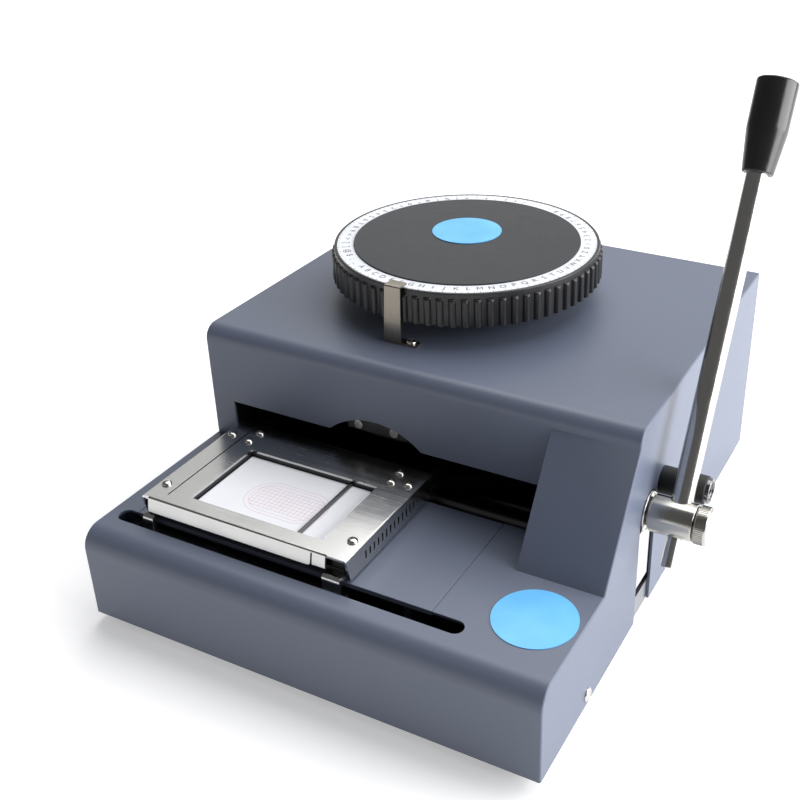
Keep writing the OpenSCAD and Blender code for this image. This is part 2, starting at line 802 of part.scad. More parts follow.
// ---- cross carriage ----
module carriage_bars() {
    cross_w = 9;
    color(black) machine() {
        for (x = [bar_left_x, bar_right_x]) box(x, x + bar_w, bar_front_y, bar_back_y, bar_z, bar_z + bar_h);
        box(bar_left_x, bar_right_x + bar_w, bar_front_y, bar_front_y + cross_w, bar_z, bar_z + bar_h);
    }
}
module carriage_legs() {
    foot_z = front_rod[1] + front_block_half;
    legs = [[bar_left_x - 2.5, 7], [bar_right_x - 4, 11]];
    color(stainless) machine() for (leg = legs) along_x(leg[0], leg[0] + leg[1]) {
        translate([leg_y + leg_t, bar_z]) square([bar_front_y - leg_y - leg_t, leg_t]);
        translate([leg_y, foot_z]) square([leg_t, bar_z - foot_z + eps]);
        intersection() {
            translate([leg_y + leg_t, bar_z]) circle(leg_t);
            translate([leg_y, bar_z]) square([leg_t, leg_t]);
        }
    }
}
module slide_block(x0, x1, pos, y0, y1, z0, z1) {
    difference() {
        box(x0, x1, y0, y1, z0, z1);
        rod_x(x0 - 1, x1 + 1, pos, rod_r + run_fit);
    }
}
front_block_half = 7;
rear_block_half = 6;
rear_block_drop = 8;
module carriage_blocks() {
    x0 = bar_left_x - 1.5;
    x1 = bar_right_x + bar_w + 1;
    h = front_block_half;
    color(steel) machine() {
        slide_block(x0, x1, front_rod, front_rod[0] - h, front_rod[0] + h, front_rod[1] - h, front_rod[1] + h);
        slide_block(x0, x1, rear_rod, rear_rod[0] - rear_block_half, rear_rod[0] + rear_block_half,
            rear_rod[1] - rear_block_drop, bar_z);
    }
}
rack_pitch = 4;
rack_teeth = 20;
rack_h = 6;
tooth_h = 3;
module feed_rack() {
    x0 = bar_left_x + 30;
    top = rear_rod[1] - rear_block_drop;
    half = rear_block_half - 1;
    color(steel) machine() difference() {
        box(x0, x0 + rack_pitch * rack_teeth, rear_rod[0] - half, rear_rod[0] + half, top - rack_h, top);
        for (i = [0:rack_teeth - 1]) along_y(rear_rod[0] - half - 1, rear_rod[0] + half + 1)
            translate([x0 + rack_pitch * i, top - rack_h])
            polygon([[0.4, -1], [0.4, 0], [rack_pitch - 0.8, tooth_h], [rack_pitch - 0.8, -1]]);
    }
}
rod_x0 = left_plate_x + plate_t;
block_t = 5;
module guide_rods() {
    color(nickel) machine() for (pos = [front_rod, rear_rod]) rod_x(rod_x0, inner_plate_x, pos, rod_r);
}
module rod_blocks() {
    color(steel) machine() for (x = [rod_x0, inner_plate_x - block_t], pos = [front_rod, rear_rod]) difference() {
        box(x, x + block_t, pos[0] - 8, pos[0] + 8, base_t, min(pos[1] + 8, deck_h - 2));
        rod_x(x - 1, x + block_t + 1, pos, rod_r);
    }
}

// ---- card tray ----
tray_t = 1.5;
lip_h = 8.8;
lip_lean = 10;
lip_slit = 1;
lip_tab = 8.2;
wall_bottom = deck_h + 1;
tray_back = tray_y + tray_l;
tray_right = tray_x + tray_w;
side_screws = [[tray_x + 5.3, 41.5], [tray_x + 5.3, 101], [tray_right - 6.6, 43], [tray_right - 6.6, 101]];
rear_screws = [[tray_x + 19, 99], [tray_x + 20, 109], [tray_right - 17, 99.5], [tray_right - 17, 109.5]];
tray_screw_spots = concat(side_screws, rear_screws);
slit_x = tray_x + 12.4;
slit_w = 0.9;
slit_y = tray_y + 7;
line_y = 44.2;
line_w = 1.4;
line_z0 = tray_top - 10.1;
line_z1 = tray_top - 4.9;
module tray_wall(x) {
    along_x(x, x + tray_t) polygon([
        [tray_y, tray_top - tray_t], [tray_y + 3, wall_bottom], [tray_back - 3, wall_bottom],
        [tray_back, tray_top - tray_t], [tray_back, tray_top], [tray_y, tray_top]
    ]);
}
module tray_plate() {
    lip_x0 = tray_x + 4.5;
    lip_x1 = tray_x + 113;
    color(stainless) machine() difference() {
        union() {
            box(tray_x, tray_right, tray_y, tray_back, tray_top - tray_t, tray_top);
            tray_wall(tray_x);
            tray_wall(tray_right - tray_t);
            translate([0, tray_y, tray_top]) rotate([-lip_lean, 0, 0]) along_y(0, tray_t) {
                translate([lip_x0, -lip_h]) square([lip_x1 - lip_x0 - 2, lip_h]);
                translate([lip_x0, 2 - lip_h]) square([lip_x1 - lip_x0, lip_h - 2]);
                translate([lip_x1 - 2, 2 - lip_h]) circle(2);
                translate([lip_x1 + lip_slit, 1 - lip_h]) square([lip_tab, lip_h - 1]);
            }
        }
        box(card_x, card_x + window_w, card_y, card_y + window_l, tray_top - 5, tray_top + 1);
        box(slit_x, slit_x + slit_w, slit_y, tray_back + 1, tray_top - 5, tray_top + 1);
        for (p = tray_screw_spots) rod_z(p, tray_top - 5, tray_top + 1, m3_hole);
        for (i = [0:line_count - 1]) let (y = line_y + i * line_pitch)
            box(tray_right - 3, tray_right + 1, y, y + line_w, line_z0, line_z1);
        rod_x(tray_right - 3, tray_right + 1, [99.2, tray_top - 7.5], 1.1);
    }
}
module tray_runners() {
    z0 = bar_z + bar_h + 0.3;
    color(black) machine() difference() {
        union() {
            box(tray_x + 2, tray_x + 12, tray_y + 4, tray_back - 1, z0, tray_top - tray_t);
            box(tray_right - 12, tray_right - 2, tray_y + 4, tray_back - 1, z0, tray_top - tray_t);
        }
        for (p = side_screws) rod_z(p, z0 - 1, tray_top, m3_hole);
    }
}
module card_bed() {
    edge = 4;
    ledge = 3;
    color(black) machine() difference() {
        union() {
            box(card_x - edge, card_x + window_w + edge, card_y - edge, card_y + window_l + edge, card_z - 2.2,
                tray_top - tray_t);
            box(tray_x + 15, tray_right - 13, card_y + window_l + edge - eps, 114, tray_top - 5.5, tray_top - tray_t);
        }
        box(card_x, card_x + window_w, card_y, card_y + window_l, card_z, tray_top);
        box(card_x + ledge, card_x + window_w - ledge, card_y + ledge, card_y + window_l - ledge, card_z - 3,
            tray_top);
        for (p = rear_screws) rod_z(p, tray_top - 6, tray_top, m3_hole);
    }
}
module card_template() {
    color("white") machine() box(card_x + 0.8, card_x + 0.8 + card_w, card_y + 0.5, card_y + 0.5 + card_l,
        card_z, card_z + card_t);
}
// thin stop strip across the card
strip_x = card_x + 68.8;
strip_w = 2.4;
module clamp_strip() {
    color(steel) machine() box(strip_x, strip_x + strip_w, card_y, card_y + window_l, card_z + 0.8, card_z + 1.8);
}
module tray_screws() {
    color(nickel) machine() for (p = tray_screw_spots) translate([p[0], p[1], tray_top]) pan_screw(1.5, 4);
}

cover_shell();
deck_plate();
base_plate();
rubber_feet();
foot_screws();
cover_screws();
left_frame_plate();
inner_frame_plate();
outer_frame_plate();
front_beam();
frame_screws();
bearing_bridge();
upper_bearing();
lower_bearing();
shaft_bushes();
shaft_boss();
index_pointer();
pointer_screw();
handle_bumper();
bumper_screw();
deck_badge();
deck_posts();
guide_rods();
rod_blocks();
spring_seat();
crank_springs();
pawl_posts();
dial_knob();
dial_ring();
dial_badge();
dial_spindle();
upper_type_wheel();
lower_type_wheel();
type_punches();
type_dies();
index_disc();
print_punch();
print_die();
main_shaft();
press_cams();
shaft_hub();
lever_rod();
lever_grip();
clamp_knob();
upper_rocker_shaft();
upper_press_arm();
lower_rocker_shaft();
lower_press_arm();
lock_pawl();
feed_pawl();
carriage_bars();
carriage_legs();
carriage_blocks();
feed_rack();
tray_plate();
tray_runners();
card_bed();
card_template();
clamp_strip();
tray_screws();
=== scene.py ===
import json
import math

import bmesh
import bpy
from mathutils import Matrix, Vector

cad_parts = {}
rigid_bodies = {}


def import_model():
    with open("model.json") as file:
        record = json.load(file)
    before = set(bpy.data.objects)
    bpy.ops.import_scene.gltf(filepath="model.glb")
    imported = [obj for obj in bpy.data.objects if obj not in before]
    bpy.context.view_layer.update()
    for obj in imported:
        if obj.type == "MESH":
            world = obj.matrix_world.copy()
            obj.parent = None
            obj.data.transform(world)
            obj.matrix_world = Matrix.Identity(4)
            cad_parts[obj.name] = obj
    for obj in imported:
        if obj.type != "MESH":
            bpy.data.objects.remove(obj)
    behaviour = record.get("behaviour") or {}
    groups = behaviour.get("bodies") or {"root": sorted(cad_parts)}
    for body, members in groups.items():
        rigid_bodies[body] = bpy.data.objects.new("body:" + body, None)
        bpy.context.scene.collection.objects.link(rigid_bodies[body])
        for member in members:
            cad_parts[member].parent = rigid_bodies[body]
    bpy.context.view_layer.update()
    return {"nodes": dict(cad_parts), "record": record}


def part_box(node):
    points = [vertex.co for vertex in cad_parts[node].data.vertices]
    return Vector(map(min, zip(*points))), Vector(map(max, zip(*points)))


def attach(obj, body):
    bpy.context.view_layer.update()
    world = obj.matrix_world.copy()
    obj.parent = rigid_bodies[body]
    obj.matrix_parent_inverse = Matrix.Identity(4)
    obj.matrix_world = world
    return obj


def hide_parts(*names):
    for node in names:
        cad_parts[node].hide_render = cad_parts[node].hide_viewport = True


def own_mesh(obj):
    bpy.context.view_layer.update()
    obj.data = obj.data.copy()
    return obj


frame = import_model()
MM = 0.001
WELD = 0.002 * MM
NEAR = 0.01  # two measures in millimetres that lie closer than this are the same
SHARP_ANGLE = 32.0
NODES = frame["nodes"]
BEHAVIOUR = frame["record"]["behaviour"]
BODY_OF = {node: body for body, members in BEHAVIOUR["bodies"].items() for node in members}
SLOT_OF = {row["node"]: row["material_slot"] for row in frame["record"]["subparts"]}

# the front left bottom corner of the cover, which every measure below starts from
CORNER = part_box("cover_shell")[0]


def at(x, y, z):
    """A point given in millimetres from the cover's corner, in the row frame."""
    return CORNER + Vector((x, y, z)) * MM


def local(point):
    """A row frame point in millimetres from the cover's corner."""
    return (Vector(point) - CORNER) / MM


def box_mm(node):
    """A node's lowest and highest corners at rest, in millimetres from the cover's corner."""
    low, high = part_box(node)
    return local(low), local(high)


def joint_place(name):
    """A point on a joint's axis, in millimetres from the cover's corner."""
    return next(local(row["pos_m"]) for row in BEHAVIOUR["joints"] if row["name"] == name)


COVER_W, COVER_D, COVER_H = box_mm("cover_shell")[1]
SHAFT = joint_place("lever_pull")
DIAL = joint_place("dial_turn")


# ---------------------------------------------------------------- materials
class Tree:
    """Builds one node material around a Principled shader."""

    def __init__(self, name):
        self.mat = bpy.data.materials.new(name)
        self.mat.use_nodes = True
        self.nodes = self.mat.node_tree.nodes
        self.links = self.mat.node_tree.links
        self.shader = self.nodes["Principled BSDF"]
        self.coords = self.nodes.new("ShaderNodeTexCoord").outputs["Object"]

    def set(self, **values):
        """Sets uniform values on the shader's own sockets."""
        for key, value in values.items():
            self.shader.inputs[key.replace("_", " ")].default_value = value
        return self

    def fill(self, socket, value):
        """Gives a socket a link, a colour or a number."""
        if isinstance(value, bpy.types.NodeSocket):
            self.links.new(value, socket)
        elif socket.type == "RGBA":
            socket.default_value = (*value, 1.0)
        else:
            socket.default_value = value

    def stretched(self, scale):
        mapping = self.nodes.new("ShaderNodeMapping")
        mapping.inputs["Scale"].default_value = scale
        self.fill(mapping.inputs["Vector"], self.coords)
        return mapping.outputs["Vector"]

    def noise(self, scale, detail=3.0, rough=0.5, stretch=None):
        node = self.nodes.new("ShaderNodeTexNoise")
        node.inputs["Scale"].default_value = scale
        node.inputs["Detail"].default_value = detail
        node.inputs["Roughness"].default_value = rough
        self.fill(node.inputs["Vector"], self.stretched(stretch) if stretch else self.coords)
        return node.outputs["Fac"]

    def cells(self, scale):
        node = self.nodes.new("ShaderNodeTexVoronoi")
        node.inputs["Scale"].default_value = scale
        self.fill(node.inputs["Vector"], self.coords)
        return node.outputs["Distance"]

    def spread(self, fac, low, high, from_low=0.3, from_high=0.7):
        """Maps the middle of a texture's range to the range from low to high."""
        node = self.nodes.new("ShaderNodeMapRange")
        node.inputs["From Min"].default_value = from_low
        node.inputs["From Max"].default_value = from_high
        node.inputs["To Min"].default_value = low
        node.inputs["To Max"].default_value = high
        self.fill(node.inputs["Value"], fac)
        return node.outputs["Result"]

    def mix(self, fac, a, b):
        node = self.nodes.new("ShaderNodeMix")
        node.data_type = "RGBA"
        self.fill(node.inputs["Factor"], fac)
        for socket in node.inputs:
            if socket.type == "RGBA":
                self.fill(socket, a if socket.name == "A" else b)
        return next(socket for socket in node.outputs if socket.type == "RGBA")

    def calc(self, kind, a, b=0.0):
        node = self.nodes.new("ShaderNodeMath")
        node.operation = kind
        self.fill(node.inputs[0], a)
        self.fill(node.inputs[1], b)
        return node.outputs["Value"]

    def colour(self, value):
        self.fill(self.shader.inputs["Base Color"], value)

    def roughness(self, value):
        self.fill(self.shader.inputs["Roughness"], value)

    def bump(self, *layers):
        """Each layer is (height, strength, distance in metres)."""
        normal = None
        for height, strength, distance in layers:
            node = self.nodes.new("ShaderNodeBump")
            node.inputs["Strength"].default_value = strength
            node.inputs["Distance"].default_value = distance
            self.fill(node.inputs["Height"], height)
            if normal is not None:
                self.fill(node.inputs["Normal"], normal)
            normal = node.outputs["Normal"]
        self.fill(self.shader.inputs["Normal"], normal)


def painted_cover():
    """Satin powder coat: faint orange peel under a fine grain."""
    t = Tree("painted_cover")
    cloud = t.noise(5.0, 4.0, 0.6)
    peel = t.noise(520.0, 2.0, 0.5)
    grain = t.noise(2400.0, 2.0, 0.6)
    speck = t.spread(t.cells(1500.0), 0.0, 1.0, 0.0, 0.5)
    base = t.mix(t.spread(cloud, 0.0, 1.0), (0.106, 0.126, 0.185), (0.112, 0.133, 0.194))
    t.colour(t.mix(t.calc("MULTIPLY", speck, 0.16), base, (0.16, 0.18, 0.22)))
    t.roughness(t.spread(grain, 0.36, 0.46))
    t.bump((peel, 0.16, 0.00012), (grain, 0.22, 0.00005))
    return t.mat


def brushed(name, colour, low, high, along, strength=0.12):
    """Metal with fine brush lines that run along one axis."""
    t = Tree(name)
    across, lengthwise = 900.0, 9.0
    stretch = [across, across, across]
    stretch["XYZ".index(along)] = lengthwise
    lines = t.noise(1.0, 4.0, 0.65, stretch)
    patch = t.noise(45.0, 3.0)
    smudge = t.spread(t.noise(14.0, 5.0, 0.7), 0.0, 1.0, 0.45, 0.75)
    t.set(Metallic=1.0, Anisotropic=0.35)
    tone = t.mix(t.spread(lines, 0.0, 1.0), [c * 0.90 for c in colour], colour)
    t.colour(t.mix(t.calc("MULTIPLY", smudge, 0.25), tone, [c * 0.86 for c in colour]))
    t.roughness(t.calc("ADD", t.spread(lines, low, high), t.spread(patch, -0.02, 0.04)))
    t.bump((lines, strength, 0.00003))
    return t.mat


def plated(name, colour, low, high, haze=0.05):
    """Plated metal with faint polishing haze."""
    t = Tree(name)
    t.set(Metallic=1.0)
    t.colour(t.mix(t.noise(80.0, 3.0), [c * 0.94 for c in colour], colour))
    t.roughness(t.spread(t.noise(160.0, 5.0, 0.7), low, high))
    t.bump((t.noise(700.0, 3.0), haze, 0.00003))
    return t.mat


def moulded(name, low_colour, high_colour, low, high, grain=1600.0, strength=0.15, specular=0.5):
    """Moulded plastic or rubber with a fine grain."""
    t = Tree(name)
    t.set(Specular_IOR_Level=specular)
    t.colour(t.mix(t.spread(t.noise(30.0, 4.0), 0.0, 1.0), low_colour, high_colour))
    t.roughness(t.spread(t.noise(220.0, 4.0), low, high))
    t.bump((t.noise(grain, 3.0, 0.6), strength, 0.00006))
    return t.mat


def coated(name, low_colour, high_colour):
    """Printed film under a clear gloss layer."""
    t = Tree(name)
    t.set(Coat_Weight=0.25, Coat_Roughness=0.2, Specular_IOR_Level=0.3)
    t.colour(t.mix(t.spread(t.noise(40.0, 3.0), 0.0, 1.0), low_colour, high_colour))
    t.roughness(t.spread(t.noise(300.0, 4.0), 0.40, 0.50))
    t.bump((t.noise(260.0, 2.0), 0.04, 0.00005))
    return t.mat


MATERIALS = {
    "painted_cover": painted_cover(),
    "plated_steel": brushed("plated_steel", (0.36, 0.37, 0.39), 0.34, 0.46, "Z"),
    "black_rubber": moulded(
        "black_rubber", (0.012, 0.012, 0.012), (0.022, 0.022, 0.023), 0.55, 0.72, grain=900.0, strength=0.3
    ),
    "screw_steel": plated("screw_steel", (0.66, 0.65, 0.62), 0.14, 0.24),
    "black_steel": moulded("black_steel", (0.010, 0.010, 0.012), (0.020, 0.020, 0.022), 0.30, 0.42),
    "bronze": plated("bronze", (0.45, 0.28, 0.10), 0.25, 0.38),
    "bright_plating": plated("bright_plating", (0.62, 0.61, 0.59), 0.16, 0.22),
    "stainless": brushed("stainless", (0.64, 0.64, 0.63), 0.18, 0.26, "X", 0.08),
    "sky_badge": coated("sky_badge", (0.11, 0.46, 0.90), (0.16, 0.54, 0.95)),
    # tool_steel: near-black steel whose darkness is painted shade, so that the rods sink into the shade
    # inside the mouth
    "tool_steel": brushed("tool_steel", (0.13, 0.13, 0.135), 0.30, 0.42, "Y"),
    "black_plastic": moulded("black_plastic", (0.008, 0.008, 0.009), (0.014, 0.014, 0.015), 0.28, 0.38),
    "white_ring": moulded(
        "white_ring", (0.74, 0.76, 0.82), (0.80, 0.82, 0.87), 0.35, 0.45, grain=700.0, strength=0.05
    ),
    # cast_alloy: near-black alloy whose darkness is painted shade, so that the parts seen through the mouth
    # stay as dark as the shade inside it
    "cast_alloy": plated("cast_alloy", (0.06, 0.06, 0.065), 0.35, 0.50),
}
DIAL_FACE = moulded(
    "dial_face", (0.014, 0.017, 0.021), (0.018, 0.021, 0.026), 0.30, 0.36,
    grain=2400.0, strength=0.10, specular=0.32,
)
DIAL_INK = moulded(
    "dial_ink", (0.020, 0.024, 0.045), (0.035, 0.040, 0.065), 0.40, 0.50, grain=900.0, strength=0.05
)
CARD_INK = moulded(
    "card_ink", (0.66, 0.36, 0.44), (0.72, 0.44, 0.52), 0.45, 0.55, grain=900.0, strength=0.05
)
CARD_PAPER = moulded(
    "card_paper", (0.82, 0.83, 0.88), (0.86, 0.87, 0.92), 0.42, 0.52, grain=1200.0, strength=0.10
)
GRIP_PLASTIC = moulded(
    "grip_plastic", (0.010, 0.010, 0.011), (0.015, 0.015, 0.016), 0.20, 0.27, grain=1800.0, strength=0.05
)
# The pointer's warm brown tint is a painted reflection of a beige-brown surround; its grey depth is the
# steel's own.
POINTER_STEEL_PAINTED_REFLECTION = brushed("pointer_steel_painted_reflection", (0.30, 0.27, 0.23), 0.26, 0.34, "Z")
SATIN_NICKEL = plated("satin_nickel", (0.50, 0.49, 0.46), 0.19, 0.25, haze=0.10)
DARK_PLATING = plated("dark_plating", (0.20, 0.20, 0.21), 0.16, 0.24)


# ---------------------------------------------------------------- mesh helpers
def linked(name, data):
    """A new object in the scene."""
    obj = bpy.data.objects.new(name, data)
    bpy.context.scene.collection.objects.link(obj)
    return obj


def piece(name, mesh, node, material=None, stands_for=()):
    """A piece with its material, which is the material of the node's slot unless one is given. It rides on
    the node's body and hides the nodes it stands for.
    """
    obj = linked(name, mesh)
    obj.data.materials.clear()
    obj.data.materials.append(material or MATERIALS[SLOT_OF[node]])
    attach(obj, BODY_OF[node])
    if stands_for:
        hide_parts(*stands_for)
    return obj


def even_shading(obj):
    """Keeps large flat faces flat beside their rounded edges."""
    mod = obj.modifiers.new("even_shading", "WEIGHTED_NORMAL")
    mod.keep_sharp = True
    mod.weight = 80
    return obj


def smoothed(mesh, angle=SHARP_ANGLE):
    """Smooth shading that stops at edges sharper than the angle in degrees."""
    mesh.shade_smooth()
    mesh.set_sharp_from_angle(angle=math.radians(angle))
    return mesh


def mesh_from(bm, name, angle=SHARP_ANGLE):
    """Turns the working mesh into a finished one with its normals outward."""
    bmesh.ops.recalc_face_normals(bm, faces=bm.faces)
    mesh = bpy.data.meshes.new(name)
    bm.to_mesh(mesh)
    bm.free()
    return smoothed(mesh, angle)


def welded(node):
    """The node's own shape with the points that fall together joined."""
    bm = bmesh.new()
    bm.from_mesh(NODES[node].data)
    bmesh.ops.remove_doubles(bm, verts=bm.verts, dist=WELD)
    return bm


def cleaned(node):
    """The node's own shape with its flat faces joined up again, ready for rounding."""
    bm = welded(node)
    bmesh.ops.dissolve_limit(
        bm, angle_limit=math.radians(0.6), use_dissolve_boundaries=False, verts=bm.verts, edges=bm.edges
    )
    return bm


def solids_of(node):
    """The lowest and highest corners of each separate solid in a node, in millimetres."""
    bm = welded(node)
    left = set(bm.verts)
    boxes = []
    while left:
        group = [left.pop()]
        for vert in group:
            for edge in vert.link_edges:
                other = edge.other_vert(vert)
                if other in left:
                    left.remove(other)
                    group.append(other)
        points = [local(vert.co) for vert in group]
        low = Vector([min(p[i] for p in points) for i in range(3)])
        high = Vector([max(p[i] for p in points) for i in range(3)])
        boxes.append((low, high))
    bm.free()
    return sorted(boxes, key=lambda pair: tuple(round(v, 2) for v in pair[0]))


def round_edges(bm, width, segments=2, angle=30.0, pick=None, clamp=True):
    """Rounds the edges sharper than the angle, or only those whose two ends in millimetres pass pick."""
    edges = []
    for edge in bm.edges:
        if len(edge.link_faces) != 2 or edge.calc_face_angle(0.0) < math.radians(angle):
            continue
        if pick is None or pick(local(edge.verts[0].co), local(edge.verts[1].co)):
            edges.append(edge)
    if edges:
        bmesh.ops.bevel(
            bm,
            geom=edges,
            offset=width * MM,
            segments=segments,
            profile=0.5,
            affect="EDGES",
            clamp_overlap=clamp,
        )


def dressed(node, *passes, material=None):
    """Stands for a CAD node with the same shape and rounded edges."""
    bm = cleaned(node)
    for step in passes:
        round_edges(bm, **step)
    mesh = mesh_from(bm, "dressed_" + node)
    return even_shading(piece("vis_" + node, mesh, node, material=material, stands_for=(node,)))


def both(test):
    """An edge is picked when both of its ends pass the test."""
    return lambda a, b: test(a) and test(b)


def rounded(points, radii, steps=5):
    """The outline with the corners named in radii, {index: radius}, turned into arcs."""
    out = []
    for i, point in enumerate(points):
        if i not in radii:
            out.append(point)
            continue
        corner = Vector(point)
        before = (Vector(points[i - 1]) - corner).normalized()
        after = (Vector(points[(i + 1) % len(points)]) - corner).normalized()
        half = before.angle(after) / 2
        centre = corner + (before + after).normalized() * (radii[i] / math.sin(half))
        start = corner + before * (radii[i] / math.tan(half)) - centre
        end = corner + after * (radii[i] / math.tan(half)) - centre
        sweep = start.angle(end)
        for k in range(steps + 1):
            share = k / steps
            arm = (start * math.sin((1 - share) * sweep) + end * math.sin(share * sweep)) / math.sin(sweep)
            out.append(tuple(centre + arm))
    return out


def plain_columns(count=96):
    """Evenly spaced (angle, bulge) columns of a smooth round solid."""
    return [(math.tau * i / count, 0.0) for i in range(count)]


def spin(bm, rows, place, columns=None):
    """Adds a closed turned solid around the place's Z axis. Each row is (radius, height) or
    (radius, height, lift) in millimetres, and lift scales the columns' own bulge."""
    columns = columns or plain_columns()
    rings = []
    for row in rows:
        radius, height = row[0], row[1]
        lift = row[2] if len(row) > 2 else 0.0
        if radius < 1e-6:
            rings.append([bm.verts.new(place @ (Vector((0, 0, height)) * MM))])
            continue
        ring = []
        for angle, bulge in columns:
            r = radius + lift * bulge
            point = Vector((r * math.cos(angle), r * math.sin(angle), height))
            ring.append(bm.verts.new(place @ (point * MM)))
        rings.append(ring)
    open_ended = len(rings[0]) > 1 and len(rings[-1]) > 1
    pairs = list(zip(rings, rings[1:])) + ([(rings[-1], rings[0])] if open_ended else [])
    for a, b in pairs:
        n = max(len(a), len(b))
        for i in range(n):
            j = (i + 1) % n
            if len(a) == 1:
                bm.faces.new((a[0], b[i], b[j]))
            elif len(b) == 1:
                bm.faces.new((a[i], a[j], b[0]))
            else:
                bm.faces.new((a[i], a[j], b[j], b[i]))


def facing(x, y, z, direction="+Z"):
    """A place at a point in millimetres whose Z axis looks along a row axis."""
    aim = Vector([float(letter == direction[1]) for letter in "XYZ"])
    if direction[0] == "-":
        aim.negate()
    turn = Vector((0, 0, 1)).rotation_difference(aim)
    return Matrix.Translation(at(x, y, z)) @ turn.to_matrix().to_4x4()


def turned(name, node, rows, place, columns=None, **kw):
    """A piece that is one turned solid."""
    bm = bmesh.new()
    spin(bm, rows, place, columns)
    return even_shading(piece(name, mesh_from(bm, name), node, **kw))


def carved(body, *tools):
    """The body mesh with the tool meshes cut away."""
    obj = linked("carved_body", body)
    helpers = []
    for tool in tools:
        helper = linked("carving_tool", tool)
        helpers.append(helper)
        mod = obj.modifiers.new("cut", "BOOLEAN")
        mod.object = helper
        mod.solver = "EXACT"
    graph = bpy.context.evaluated_depsgraph_get()
    result = bpy.data.meshes.new_from_object(obj.evaluated_get(graph))
    for extra in [obj] + helpers:
        bpy.data.objects.remove(extra)
    return smoothed(result)


# ---------------------------------------------------------------- screws and feet
def screw_shape(head_r, head_h, shank_r, shank_l):
    """A domed screw with a cross recess: the head stands on the ground plane, the shank hangs below it."""
    steps, rim_share = 8, 0.28
    crown = []
    for k in range(steps):
        rise = math.pi / 2 * k / steps
        crown.append((head_r * math.cos(rise), head_h * (rim_share + (1 - rim_share) * math.sin(rise))))
    rows = [(0, -shank_l), (shank_r, -shank_l), (shank_r, 0), (head_r, 0)] + crown + [(0, head_h)]
    bm = bmesh.new()
    spin(bm, rows, Matrix.Identity(4), plain_columns(40))
    body = mesh_from(bm, "screw_body")
    tools = []
    slot_turn = 0.3
    for turn in (0.0, math.pi / 2):
        bm = bmesh.new()
        bmesh.ops.create_cone(
            bm,
            segments=4,
            radius1=0.12 * head_r * MM,
            radius2=0.34 * head_r * MM,
            depth=head_h * MM,
            cap_ends=True,
        )
        bmesh.ops.rotate(bm, verts=bm.verts, matrix=Matrix.Rotation(math.pi / 4, 3, "Z"))
        bmesh.ops.scale(bm, verts=bm.verts, vec=(2.3, 0.62, 1.0))
        bmesh.ops.rotate(bm, verts=bm.verts, matrix=Matrix.Rotation(turn + slot_turn, 3, "Z"))
        bmesh.ops.translate(bm, verts=bm.verts, vec=(0, 0, head_h * 0.86 * MM))
        tools.append(mesh_from(bm, "recess"))
    return carved(body, *tools)


def copies(name, node, shape, places, **kw):
    """One piece made of the same shape at several places."""
    bm = bmesh.new()
    for place in places:
        fresh = shape.copy()
        fresh.transform(place)
        bm.from_mesh(fresh)
        bpy.data.meshes.remove(fresh)
    return piece(name, mesh_from(bm, name), node, stands_for=(node,), **kw)


def middle(pair):
    """The middle of a box given by its lowest and highest corners."""
    return (pair[0] + pair[1]) / 2


def top_screws():
    """The screws of the tray and of the pointer, with their heads up."""
    for node, height in (("tray_screws", 1.8), ("pointer_screw", 2.0)):
        shape = screw_shape(head_r=2.85, head_h=height, shank_r=1.5, shank_l=3.0)
        places = []
        for pair in solids_of(node):
            mid = middle(pair)
            places.append(facing(mid.x, mid.y, pair[1].z - height, "+Z"))
        copies("vis_" + node, node, shape, places)


def side_screws():
    """The screws that hold the cover to the flanges of the base."""
    shape = screw_shape(head_r=3.8, head_h=1.8, shank_r=2.0, shank_l=3.3)
    places = []
    for pair in solids_of("cover_screws"):
        mid = middle(pair)
        if pair[0].x < 0:
            places.append(facing(0, mid.y, mid.z, "-X"))
        elif pair[1].x > COVER_W:
            places.append(facing(COVER_W, mid.y, mid.z, "+X"))
        else:
            places.append(facing(mid.x, COVER_D, mid.z, "+Y"))
    copies("vis_cover_screws", "cover_screws", shape, places)


def feet():
    """Round rubber feet with a recess below for their screws."""
    bore, recess_r, recess_h, foot_r = 2.2, 5, 3, 10
    bm = bmesh.new()
    for low, high in solids_of("rubber_feet"):
        tall = high.z - low.z
        outline = [
            (bore, recess_h), (recess_r, recess_h), (recess_r, 0), (foot_r, 0), (foot_r, tall), (bore, tall)
        ]
        mid = middle((low, high))
        spin(bm, rounded(outline, {2: 0.6, 3: 1.6, 4: 0.4}), facing(mid.x, mid.y, low.z), plain_columns(72))
    mesh = mesh_from(bm, "feet")
    even_shading(piece("vis_rubber_feet", mesh, "rubber_feet", stands_for=("rubber_feet",)))


# ---------------------------------------------------------------- press lever
def lever_place():
    """The place on the press shaft's axis whose Z axis runs up the lever rod."""
    grip_middle = middle(box_mm("lever_grip"))
    lean = math.atan2(grip_middle.y - SHAFT.y, grip_middle.z - SHAFT.z)
    return Matrix.Translation(at(grip_middle.x, SHAFT.y, SHAFT.z)) @ Matrix.Rotation(-lean, 4, "X")


LEVER = lever_place()
ROD_R = 6.1
TAIL_R = 4.0
TAIL_L = 27.0
HUB_R = 10.5
GRIP_FROM = 190.0
GRIP_TO = 241.5


